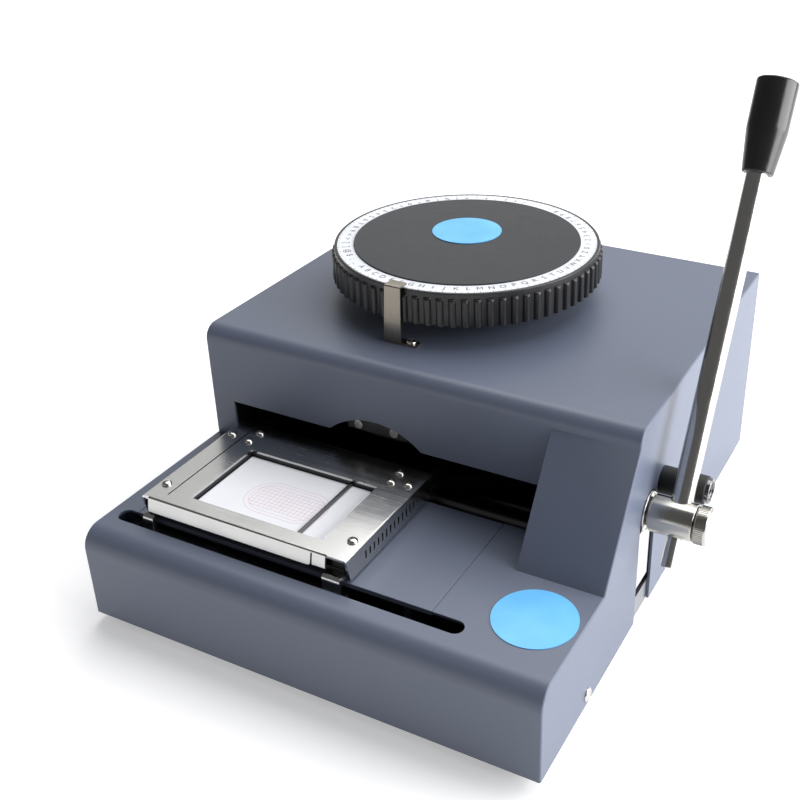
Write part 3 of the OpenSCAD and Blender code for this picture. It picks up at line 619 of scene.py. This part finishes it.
def lever():
    """The plated rod with its thin tail below the shaft, and the waisted grip on its upper end."""
    tail_from, rod_end = -8, GRIP_FROM + 20
    rod = [
        (0, -TAIL_L), (TAIL_R, -TAIL_L), (TAIL_R, tail_from),
        (ROD_R, tail_from), (ROD_R, rod_end), (0, rod_end),
    ]
    turned("vis_lever_rod", "lever_rod", rounded(rod, {1: 0.8}), LEVER, plain_columns(80),
           stands_for=("lever_rod",))
    bore = ROD_R + 0.03
    low_r, shoulder_r, top_r = 8.6, 11.3, 11.5
    grip = [
        (0, rod_end), (bore, rod_end), (bore, GRIP_FROM), (low_r, GRIP_FROM),
        (shoulder_r, GRIP_FROM + 23.5), (top_r, GRIP_TO - 0.8), (0, GRIP_TO),
    ]
    turned("vis_lever_grip", "lever_grip", rounded(grip, {3: 0.8, 4: 14.0, 5: 1.3}, 8), LEVER,
           material=GRIP_PLASTIC, stands_for=("lever_grip",))


def hub():
    """The clamping hub on the press shaft, with a relieved seat where the lever enters it."""
    low, high = box_mm("shaft_hub")
    long = high.x - low.x
    neck_r, neck_l = HUB_R - 1.2, 0.8
    outline = [(0, 0), (neck_r, 0), (neck_r, neck_l), (HUB_R, neck_l), (HUB_R, long), (0, long)]
    place = facing(low.x, SHAFT.y, SHAFT.z, "+X")
    bm = bmesh.new()
    spin(bm, rounded(outline, {3: 0.4, 4: 0.9}, 4), place, plain_columns(128))
    body = mesh_from(bm, "hub_body")
    bm = bmesh.new()
    hole_r, mouth_r, past = ROD_R + 0.05, ROD_R + 1.3, 20
    seat = [
        (0, 6.0), (hole_r, 6.0), (hole_r, HUB_R - 1.6), (mouth_r, HUB_R + 0.6), (mouth_r, past), (0, past),
    ]
    spin(bm, seat, LEVER, plain_columns(72))
    seat_tool = mesh_from(bm, "seat_tool")
    bm = bmesh.new()
    tail_hole_r = TAIL_R + 0.05
    spin(bm, [(0, -past), (tail_hole_r, -past), (tail_hole_r, -6), (0, -6)], LEVER, plain_columns(60))
    tail_tool = mesh_from(bm, "tail_tool")
    mesh = carved(body, seat_tool, tail_tool)
    hub_piece = piece("vis_shaft_hub", mesh, "shaft_hub", material=SATIN_NICKEL, stands_for=("shaft_hub",))
    even_shading(hub_piece)


def clamp_knob():
    """Knurled knob: fine straight grooves between two plain chamfers, on a short threaded stem."""
    low, high = box_mm("clamp_knob")
    grooves = 56
    radius = (high.z - low.z) / 2
    head_from = box_mm("shaft_hub")[1].x + 0.4 - low.x
    end = high.x - low.x
    stem_r = 3.9
    deep = 0.45
    columns = []
    for i in range(grooves):
        for share, cut in ((0.0, 0.0), (0.35, 0.0), (0.5, -1.0), (0.85, -1.0)):
            columns.append((math.tau * (i + share) / grooves, cut))
    rows = [
        (0, 0), (stem_r - 0.5, 0), (stem_r, 0.5), (stem_r, head_from), (radius - 1.0, head_from),
        (radius - 0.3, head_from + 0.5), (radius, head_from + 0.9), (radius, head_from + 1.0, deep),
        (radius, end - 1.5, deep), (radius, end - 1.4), (radius, end - 1.0), (radius - 0.25, end - 0.5),
        (radius - 0.9, end), (0, end),
    ]
    turned("vis_clamp_knob", "clamp_knob", rows, facing(low.x, SHAFT.y, SHAFT.z, "+X"), columns,
           material=SATIN_NICKEL, stands_for=("clamp_knob",))


def boss():
    """Pedestal plate behind the right panel, and the bright collar of the press shaft."""
    low, high = box_mm("shaft_boss")
    radius, bore, rim = 11.9, 8.05, 1.3
    reach = high.x - low.x
    sunk = reach - 0.7
    inner = radius - rim
    collar = [(bore, 0), (radius, 0), (radius, reach), (inner, reach), (inner, sunk), (bore, sunk)]
    place = facing(low.x, SHAFT.y, SHAFT.z, "+X")
    bm = bmesh.new()
    spin(bm, rounded(collar, {2: 0.35, 3: 0.35}, 3), place, plain_columns(112))
    face = high.x - 1.5
    front = SHAFT.y - 11.8
    rear = SHAFT.y + 6.2
    plate_top = SHAFT.z - 9
    plate = [(low.x, front), (low.x, rear), (face, rear), (face, front)]
    bottom = [bm.verts.new(at(x, y, low.z)) for x, y in plate]
    top = [bm.verts.new(at(x, y, plate_top)) for x, y in plate]
    for i in range(4):
        j = (i + 1) % 4
        bm.faces.new((bottom[i], bottom[j], top[j], top[i]))
    bm.faces.new(bottom)
    bm.faces.new(top)
    round_edges(bm, 0.4, 2, 60.0, both(lambda p: p.z < plate_top + 0.1 and p.x < face + 0.1))
    even_shading(piece("vis_shaft_boss", mesh_from(bm, "boss"), "shaft_boss", stands_for=("shaft_boss",)))


def bumper():
    """The round rubber stop behind the lever, and its screw with a sunk face in a raised rim."""
    low, high = box_mm("handle_bumper")
    mid = middle((low, high))
    long = high.x - low.x
    radius = (high.z - low.z) / 2
    place = facing(low.x, mid.y, mid.z, "+X")
    bore = 3.05
    outline = [(bore, 0), (radius, 0), (radius, long), (bore, long)]
    outline = rounded(outline, {1: 0.5, 2: 1.0})
    turned("vis_handle_bumper", "handle_bumper", outline, place, plain_columns(96),
           stands_for=("handle_bumper",))
    head = box_mm("bumper_screw")[1].x - low.x
    wide = (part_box("bumper_screw")[1].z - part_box("bumper_screw")[0].z) / MM / 2
    shank_r, sunk, socket = 3, head - 0.9, head - 2.0
    rows = [(0, -3), (shank_r, -3), (shank_r, long), (wide, long), (wide, head), (wide - 1.3, head),
            (wide - 1.8, sunk), (3.4, sunk), (3.0, socket), (0, socket)]
    rows = rounded(rows, {4: 0.5, 5: 0.3, 7: 0.2}, 4)
    turned("vis_bumper_screw", "bumper_screw", rows, place, plain_columns(72),
           material=DARK_PLATING, stands_for=("bumper_screw",))


# ---------------------------------------------------------------- dial
RIBS = 72
RIB_DEPTH = 1.9
RIM_R = 83.7
RING_IN, RING_OUT = 71.5, 81.8
# seventy generic places in the order that they stand around the ring
CHARACTERS = "ABCDEFGHIJKLMNOPQRSTUVWXYZ0123456789&-.,/()'+:=?%!#*0123456789<>[]@$;_"


def rib_columns():
    """One turn of half-round ribs with flat gaps between them."""
    width, steps = 0.62, 8
    columns = []
    for i in range(RIBS):
        for k in range(steps + 1):
            side = 2 * k / steps - 1
            bulge = math.sqrt(max(0.0, 1 - side * side))
            columns.append((math.tau * (i + width * k / steps) / RIBS, bulge))
        columns.append((math.tau * (i + (1 + width) / 2) / RIBS, 0.0))
    return columns


def dial():
    """The ribbed rim, the satin face inside the scale ring, and the hub that grips the spindle."""
    low, high = box_mm("dial_knob")
    disc_top = high.z
    rim_top = disc_top - 0.6
    skirt_low = rim_top - 21
    under = rim_top - 4
    body_r = RIM_R - 0.1
    rib_top = rim_top - 3.4
    place = facing(DIAL.x, DIAL.y, 0)
    wall_in = RIM_R - 4
    rows = [
        (wall_in, skirt_low + 0.4), (wall_in + 0.4, skirt_low),
        (RIM_R - 0.6, skirt_low, 0.8 * RIB_DEPTH), (body_r, skirt_low + 0.5, RIB_DEPTH),
    ]
    arc_steps, arc_h = 5, 1.6
    for k in range(arc_steps + 1):
        a = math.pi / 2 * k / arc_steps
        rows.append((body_r, rib_top - arc_h * (1 - math.sin(a)), RIB_DEPTH * math.cos(a)))
    rows.append((body_r, rib_top + 0.2))
    seat_out, seat_in, seat_z = RING_OUT + 0.05, RING_IN - 1, rim_top - 0.8
    edge = [
        (RIM_R, rib_top + 0.3), (RIM_R, rim_top), (seat_out, rim_top), (seat_out, seat_z),
        (seat_in, seat_z), (seat_in, under), (wall_in, under),
    ]
    rows += rounded(edge, {1: 0.7, 2: 0.15}, 4)
    turned("vis_dial_knob", "dial_knob", rows, place, rib_columns(), stands_for=("dial_knob",))
    face = [(0, under), (RING_IN, under), (RING_IN, disc_top), (0, disc_top)]
    turned("dial_face", "dial_knob", rounded(face, {2: 0.35}), place, plain_columns(240),
           material=DIAL_FACE)
    neck_in, neck_out = 10.0, 18
    neck = [(neck_in, low.z), (neck_out, low.z), (neck_out, under), (neck_in, under)]
    turned("dial_hub", "dial_knob", rounded(neck, {1: 0.8}, 3), place)


def joined_text(characters, size, thickness, place_of):
    """One mesh with every character at the place that place_of(index) gives."""
    bm = bmesh.new()
    for i, character in enumerate(characters):
        curve = bpy.data.curves.new("character", "FONT")
        curve.body = character
        curve.size = size * MM
        curve.extrude = thickness * MM / 2
        curve.align_x = "CENTER"
        curve.align_y = "CENTER"
        curve.resolution_u = 3
        obj = linked("character", curve)
        graph = bpy.context.evaluated_depsgraph_get()
        mesh = bpy.data.meshes.new_from_object(obj.evaluated_get(graph))
        mesh.transform(place_of(i))
        bm.from_mesh(mesh)
        bpy.data.objects.remove(obj)
        bpy.data.meshes.remove(mesh)
    return bm


def add_bar(bm, place, x0, x1, y0, y1, z0, z1):
    """Adds one thin block, in millimetres inside the place."""
    corners = []
    for z in (z0, z1):
        for x, y in ((x0, y0), (x1, y0), (x1, y1), (x0, y1)):
            corners.append(bm.verts.new(place @ (Vector((x, y, z)) * MM)))
    bm.faces.new(corners[0:4])
    bm.faces.new(corners[4:8])
    for i in range(4):
        j = (i + 1) % 4
        bm.faces.new((corners[i], corners[j], corners[j + 4], corners[i + 4]))


def scale_ring():
    """The white ring with its characters, a long mark at each one and a short mark between them."""
    low, high = box_mm("dial_ring")
    inner = RING_IN + 0.05
    outline = [(inner, low.z), (RING_OUT, low.z), (RING_OUT, high.z), (inner, high.z)]
    turned("vis_dial_ring", "dial_ring", rounded(outline, {2: 0.12, 3: 0.12}, 2), facing(DIAL.x, DIAL.y, 0),
           plain_columns(240), stands_for=("dial_ring",))
    centre = facing(DIAL.x, DIAL.y, high.z)
    pitch = math.tau / len(CHARACTERS)
    ink = 0.04
    character_size = 5.4
    front_index, front_angle = 5, math.radians(-93)

    def place_of(i, radius=76.0):
        turn = Matrix.Rotation(pitch * (i - front_index) + front_angle, 4, "Z")
        out = Matrix.Translation(Vector((radius, 0, ink / 2)) * MM)
        return centre @ turn @ out @ Matrix.Rotation(math.pi / 2, 4, "Z")

    bm = joined_text(CHARACTERS, character_size, ink, place_of)
    for i in range(len(CHARACTERS)):
        add_bar(bm, place_of(i, RING_OUT - 0.9), -0.16, 0.16, -0.7, 0.7, -ink / 2, ink / 2)
        add_bar(bm, place_of(i + 0.5, RING_OUT - 0.6), -0.1, 0.1, -0.4, 0.4, -ink / 2, ink / 2)
    piece("dial_characters", mesh_from(bm, "dial_characters"), "dial_ring", material=DIAL_INK)


def badge(node):
    """A domed printed disc with a small rolled edge."""
    low, high = box_mm(node)
    mid = middle((low, high))
    radius = (high.x - low.x) / 2
    tall = high.z - low.z
    rim_share = 0.72
    rows = [(0, 0), (radius, 0), (radius, tall * 0.7), (radius - 0.12, tall * rim_share)]
    for k in range(3, 10):
        inward = 1 - k / 10
        rows.append((radius * inward ** 0.5, tall * (rim_share + (1 - rim_share) * (1 - inward ** 2))))
    rows.append((0, tall))
    turned("vis_" + node, node, rows, facing(mid.x, mid.y, low.z), plain_columns(120), stands_for=(node,))


# ---------------------------------------------------------------- card tray
def tray():
    """The folded tray plate, with round bends at its sides and where its leaning front lip starts."""
    low, high = box_mm("tray_plate")
    lip_h, lip_lean = 8.8, math.radians(10)
    lip_from, lip_to = low.x + 4, low.x + 123
    front = low.y + lip_h * math.sin(lip_lean)

    def front_bend(p):
        return abs(p.z - high.z) < NEAR and abs(p.y - front) < 2 * NEAR and lip_from < p.x < lip_to

    def side_bend(p):
        return abs(p.z - high.z) < NEAR and (abs(p.x - low.x) < NEAR or abs(p.x - high.x) < NEAR)

    bend = {"width": 1.1, "segments": 5, "clamp": False}
    dressed(
        "tray_plate",
        {**bend, "pick": both(front_bend)},
        {**bend, "pick": both(side_bend)},
        {"width": 0.18, "segments": 2, "angle": 40.0},
    )


def card_print():
    """The tag outline and its writing grid, printed on the card in fine lines."""
    low, high = box_mm("card_template")
    x0, x1 = low.x + 20.6, low.x + 71.6
    y0, y1 = low.y + 9.1, low.y + 38.0
    ink = 0.03
    line = 0.22
    bm = bmesh.new()
    flat = facing(0, 0, high.z)
    for inset, corner in ((0.0, 14.0), (2.4, 12.0)):
        left, right, front, rear = x0 + inset, x1 - inset, y0 + inset, y1 - inset
        outline = rounded(
            [(left, front), (right, front), (right, rear), (left, rear)], {i: corner for i in range(4)}, 12
        )
        for i, start in enumerate(outline):
            a, b = Vector(start), Vector(outline[(i + 1) % len(outline)])
            run = b - a
            if run.length < 0.01:
                continue
            turn = Matrix.Rotation(math.atan2(run.y, run.x), 4, "Z")
            along = flat @ (Matrix.Translation(Vector((a.x, a.y, 0)) * MM) @ turn)
            add_bar(bm, along, 0, run.length, -line / 2, line / 2, 0, ink)
    grid_x0, grid_x1 = x0 + 4.5, x1 - 4.5
    grid_y0, grid_y1 = y0 + 5.0, y1 - 5.0
    columns, rows = 15, 7
    corner_trim = 3.0
    for i in range(columns + 1):
        x = grid_x0 + (grid_x1 - grid_x0) * i / columns
        trim = corner_trim if i in (0, columns) else 0.0
        add_bar(bm, flat, x - line / 2, x + line / 2, grid_y0 + trim, grid_y1 - trim, 0, ink)
    for j in range(rows + 1):
        y = grid_y0 + (grid_y1 - grid_y0) * j / rows
        trim = corner_trim if j in (0, rows) else 0.0
        add_bar(bm, flat, grid_x0 + trim, grid_x1 - trim, y - line / 2, y + line / 2, 0, ink)
    piece("card_print", mesh_from(bm, "card_print"), "card_template", material=CARD_INK)


# ---------------------------------------------------------------- cover
FINE = {"width": 0.25, "segments": 2}


def cover():
    """The sheet cover, with wide folds along its sides and its top rear edge, and fine edges elsewhere."""
    slot_half = 13

    def in_slot(a, b):
        beside = abs(a.y - SHAFT.y) < slot_half and abs(b.y - SHAFT.y) < slot_half
        return beside and max(a.z, b.z) < SHAFT.z + slot_half

    def by_stop_hole(a):
        return (a - SHAFT).length < 40 and abs(a.z - SHAFT.z) < 18 and abs(a.y - SHAFT.y) < 26

    def outer_fold(a, b):
        on_left = abs(a.x) < NEAR and abs(b.x) < NEAR
        on_right = abs(a.x - COVER_W) < NEAR and abs(b.x - COVER_W) < NEAR
        if not (on_left or on_right) or max(a.z, b.z) < 0.5:
            return False
        return not (on_right and (in_slot(a, b) or by_stop_hole(a)))

    def back_fold(a, b):
        return abs(a.y - COVER_D) < NEAR and abs(b.y - COVER_D) < NEAR and min(a.z, b.z) > COVER_H - 0.5

    def fold(a, b):
        return outer_fold(a, b) or back_fold(a, b)

    dressed(
        "cover_shell",
        {"width": 1.1, "segments": 4, "angle": 40.0, "pick": fold, "clamp": False},
        {"width": 0.3, "segments": 2, "angle": 40.0},
    )


def pointer():
    """The index pointer, with a round bend at its top front edge."""
    low, high = box_mm("index_pointer")

    def top_bend(p):
        return abs(p.y - low.y) < NEAR and p.z > high.z - NEAR

    bend = {"width": 1.0, "segments": 4, "clamp": False, "pick": both(top_bend)}
    # the pointer's steel carries a painted warm reflection in its colour
    dressed("index_pointer", bend, FINE, material=POINTER_STEEL_PAINTED_REFLECTION)


def return_springs():
    """Two wound springs between the press arms and their seat."""
    wire, turns, per_turn, sides = 0.5, 11, 20, 10
    bm = bmesh.new()
    for low, high in solids_of("crank_springs"):
        mid = middle((low, high))
        radius = (high.x - low.x) / 2 - wire
        long = high.y - low.y - 2 * wire
        steps = turns * per_turn
        rings = []
        for k in range(steps + 1):
            share = k / steps
            angle = math.tau * turns * share
            centre = Vector((mid.x + radius * math.cos(angle), low.y + wire + long * share,
                             mid.z + radius * math.sin(angle)))
            out = Vector((math.cos(angle), 0, math.sin(angle)))
            back = Vector((0, 1, 0))
            ring = []
            for s in range(sides):
                turn = math.tau * s / sides
                point = centre + out * wire * math.cos(turn) + back * wire * math.sin(turn)
                ring.append(bm.verts.new(at(*point)))
            rings.append(ring)
        for a, b in zip(rings, rings[1:]):
            for s in range(sides):
                t = (s + 1) % sides
                bm.faces.new((a[s], a[t], b[t], b[s]))
        bm.faces.new(rings[0])
        bm.faces.new(rings[-1])
    springs = piece("vis_crank_springs", mesh_from(bm, "springs", 60.0), "crank_springs",
                    stands_for=("crank_springs",))
    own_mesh(springs)


def bars_along(node, axis):
    """Stands for a node of plain round bars with fine turned ones."""
    chamfer = 0.6
    i = "XYZ".index(axis)
    bm = bmesh.new()
    for low, high in solids_of(node):
        mid = middle((low, high))
        start = Vector(mid)
        start[i] = low[i]
        r = min(high[j] - low[j] for j in range(3) if j != i) / 2
        long = high[i] - low[i]
        rows = [(0, 0), (r - chamfer, 0), (r, chamfer), (r, long - chamfer), (r - chamfer, long), (0, long)]
        spin(bm, rows, facing(*start, "+" + axis), plain_columns(64))
    even_shading(piece("vis_" + node, mesh_from(bm, node), node, stands_for=(node,)))


# ---------------------------------------------------------------- build every piece
top_screws()
side_screws()
feet()
lever()
hub()
clamp_knob()
boss()
bumper()
dial()
scale_ring()
badge("dial_badge")
badge("deck_badge")
tray()
card_print()
cover()
return_springs()
for rods, axis in (("guide_rods", "X"), ("main_shaft", "X"), ("upper_rocker_shaft", "X"),
                   ("lower_rocker_shaft", "X"), ("deck_posts", "Z")):
    bars_along(rods, axis)
dressed("card_template", {"width": 0.12, "segments": 2}, material=CARD_PAPER)
pointer()
shown = {obj.name for obj in bpy.data.objects}
for node in NODES:
    if "vis_" + node not in shown:
        dressed(node, FINE)


# ---------------------------------------------------------------- floor, light and camera
def lay_floor():
    """A plain pale floor that glows a little, so that it stays white."""
    bm = bmesh.new()
    bmesh.ops.create_grid(bm, x_segments=1, y_segments=1, size=6.0)
    floor_mesh = bpy.data.meshes.new("floor")
    bm.to_mesh(floor_mesh)
    bm.free()
    floor = linked("floor", floor_mesh)
    t = Tree("floor")
    t.colour(t.mix(t.noise(3.0), (0.86, 0.86, 0.87), (0.88, 0.88, 0.89)))
    t.set(Roughness=0.7, Emission_Color=(1.0, 1.0, 1.0, 1.0), Emission_Strength=0.33)
    floor_mesh.materials.append(t.mat)


def dim_room():
    """A dark neutral room, so that the lamps shape the metal."""
    world = bpy.data.worlds.new("studio")
    bpy.context.scene.world = world
    world.use_nodes = True
    background = world.node_tree.nodes["Background"]
    background.inputs["Color"].default_value = (1.0, 1.0, 1.0, 1.0)
    background.inputs["Strength"].default_value = 0.12


def softbox(name, place, target, size, radiance):
    """A rectangular lamp whose face shines with the given radiance. Places and sizes are in metres."""
    light = bpy.data.lights.new(name, "AREA")
    light.shape = "RECTANGLE"
    light.size, light.size_y = size
    light.energy = radiance * math.pi * size[0] * size[1]
    obj = linked(name, light)
    obj.location = place
    obj.rotation_euler = (Vector(target) - Vector(place)).to_track_quat("-Z", "Y").to_euler()


def aim_camera():
    """The camera stands before the right front corner and looks down. Its angles are in degrees."""
    yaw, pitch, roll = 27.01, 28.28, -0.33
    camera = linked("camera", bpy.data.cameras.new("camera"))
    camera.location = at(432.05, -354.99, 433.35)
    camera.rotation_euler = (
        Matrix.Rotation(math.radians(yaw), 3, "Z")
        @ Matrix.Rotation(math.radians(90.0 - pitch), 3, "X")
        @ Matrix.Rotation(math.radians(roll), 3, "Z")
    ).to_euler()
    camera.data.sensor_width = 36.0
    camera.data.lens = 51.24
    camera.data.shift_x = -0.105
    camera.data.shift_y = -0.040
    camera.data.clip_start = 0.01
    bpy.context.scene.camera = camera


lay_floor()
dim_room()
softbox("overhead", (0.1, 1.05, 2.3), (0.0, 0.1, 0.0), (3.2, 1.9), 3.3)
softbox("backdrop", (-0.6, 1.95, 1.0), (0.0, 0.05, 0.12), (3.4, 1.5), 0.7)
softbox("back_right", (0.75, 1.75, 0.75), (0.05, 0.05, 0.12), (1.2, 1.1), 1.6)
softbox("right", (1.5, 0.35, 0.6), (0.12, 0.0, 0.08), (1.6, 1.1), 7.5)
softbox("front_low", (-0.75, -1.45, 0.16), (-0.05, -0.15, 0.06), (1.2, 0.3), 1.3)
aim_camera()
bpy.context.scene.view_settings.view_transform = "Standard"
